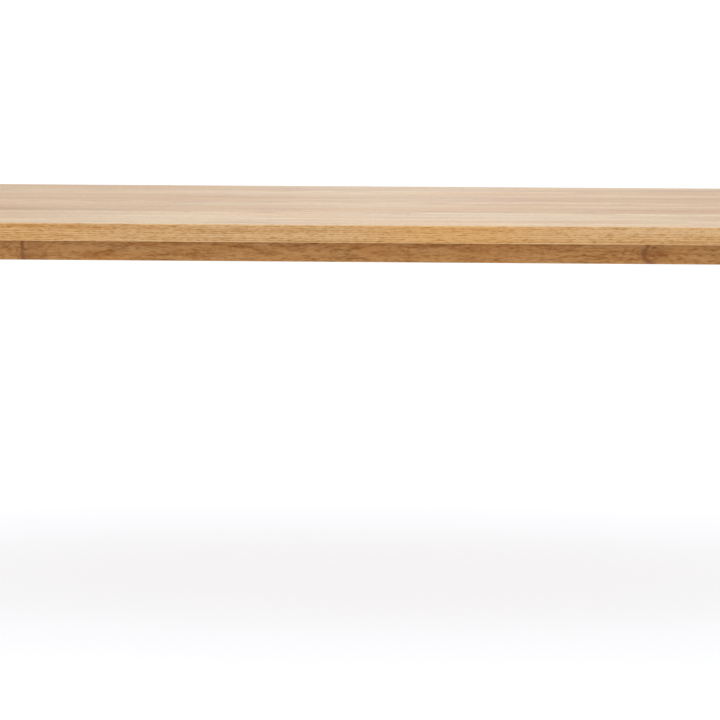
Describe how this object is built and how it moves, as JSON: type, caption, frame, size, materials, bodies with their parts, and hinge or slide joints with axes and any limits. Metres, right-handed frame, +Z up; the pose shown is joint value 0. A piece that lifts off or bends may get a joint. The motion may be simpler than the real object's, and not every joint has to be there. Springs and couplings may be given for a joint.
{
  "type": "communion table",
  "caption": "Long oak table: glued board top with a small overhang, slim rails, tapered bolt-on legs and levelling feet.",
  "frame": {"origin": "on the floor under the middle of the top", "axes": "+X along the table to the right as seen from the front, -Y out of the front, +Z up"},
  "size_m": [2.2, 0.8, 0.76],
  "materials": {
    "oak_top": "oiled oak, satin",
    "oak_rail": "oiled oak, satin",
    "oak_leg": "oiled oak, satin",
    "beech": "planed beech, unfinished",
    "zinc_steel": "bright zinc plate",
    "nylon": "moulded nylon, fine texture"
  },
  "bodies": {
    "table": {"top_board_1": "oak_top", "top_board_2": "oak_top", "top_board_3": "oak_top", "top_board_4": "oak_top", "top_board_5": "oak_top", "top_board_6": "oak_top", "top_board_7": "oak_top", "top_tongues": "beech", "rail_front": "oak_rail", "rail_back": "oak_rail", "rail_left": "oak_rail", "rail_right": "oak_rail", "bearer_1": "oak_rail", "bearer_2": "oak_rail", "bearer_3": "oak_rail", "bearer_dowels": "beech", "top_buttons": "beech", "bearer_screws": "zinc_steel", "bearer_screw_washers": "zinc_steel", "button_screws": "zinc_steel", "corner_block_screws": "zinc_steel", "hanger_bolts": "zinc_steel", "bolt_washers": "zinc_steel", "bolt_nuts": "zinc_steel", "leg_inserts": "zinc_steel", "leg_front_left": "oak_leg", "corner_block_front_left": "beech", "leg_front_right": "oak_leg", "corner_block_front_right": "beech", "leg_back_left": "oak_leg", "corner_block_back_left": "beech", "leg_back_right": "oak_leg", "corner_block_back_right": "beech"},
    "foot_front_left": {"foot_base_front_left": "zinc_steel", "foot_sole_front_left": "nylon"},
    "stem_front_left": {"foot_stem_front_left": "zinc_steel"},
    "foot_front_right": {"foot_base_front_right": "zinc_steel", "foot_sole_front_right": "nylon"},
    "stem_front_right": {"foot_stem_front_right": "zinc_steel"},
    "foot_back_left": {"foot_base_back_left": "zinc_steel", "foot_sole_back_left": "nylon"},
    "stem_back_left": {"foot_stem_back_left": "zinc_steel"},
    "foot_back_right": {"foot_base_back_right": "zinc_steel", "foot_sole_back_right": "nylon"},
    "stem_back_right": {"foot_stem_back_right": "zinc_steel"}
  },
  "joints": [
    {"name": "foot_slide_front_left", "type": "slide", "parent": "table", "child": "foot_front_left", "axis": [0, 0, -1], "range_m": [-0.008, 0]},
    {"name": "stem_turn_front_left", "type": "hinge", "parent": "foot_front_left", "child": "stem_front_left", "pos_m": [-1.058, -0.358, 0.025], "axis": [0, 0, 1], "range_deg": [0, 2305]},
    {"name": "foot_slide_front_right", "type": "slide", "parent": "table", "child": "foot_front_right", "axis": [0, 0, -1], "range_m": [-0.008, 0]},
    {"name": "stem_turn_front_right", "type": "hinge", "parent": "foot_front_right", "child": "stem_front_right", "pos_m": [1.058, -0.358, 0.025], "axis": [0, 0, 1], "range_deg": [0, 2305]},
    {"name": "foot_slide_back_left", "type": "slide", "parent": "table", "child": "foot_back_left", "axis": [0, 0, -1], "range_m": [-0.008, 0]},
    {"name": "stem_turn_back_left", "type": "hinge", "parent": "foot_back_left", "child": "stem_back_left", "pos_m": [-1.058, 0.358, 0.025], "axis": [0, 0, 1], "range_deg": [0, 2305]},
    {"name": "foot_slide_back_right", "type": "slide", "parent": "table", "child": "foot_back_right", "axis": [0, 0, -1], "range_m": [-0.008, 0]},
    {"name": "stem_turn_back_right", "type": "hinge", "parent": "foot_back_right", "child": "stem_back_right", "pos_m": [1.058, 0.358, 0.025], "axis": [0, 0, 1], "range_deg": [0, 2305]}
  ],
  "couplings": [
    {"joint": "stem_turn_front_left", "follows": "foot_slide_front_left", "rad_per_m": -5026.5},
    {"joint": "stem_turn_front_right", "follows": "foot_slide_front_right", "rad_per_m": -5026.5},
    {"joint": "stem_turn_back_left", "follows": "foot_slide_back_left", "rad_per_m": -5026.5},
    {"joint": "stem_turn_back_right", "follows": "foot_slide_back_right", "rad_per_m": -5026.5}
  ]
}
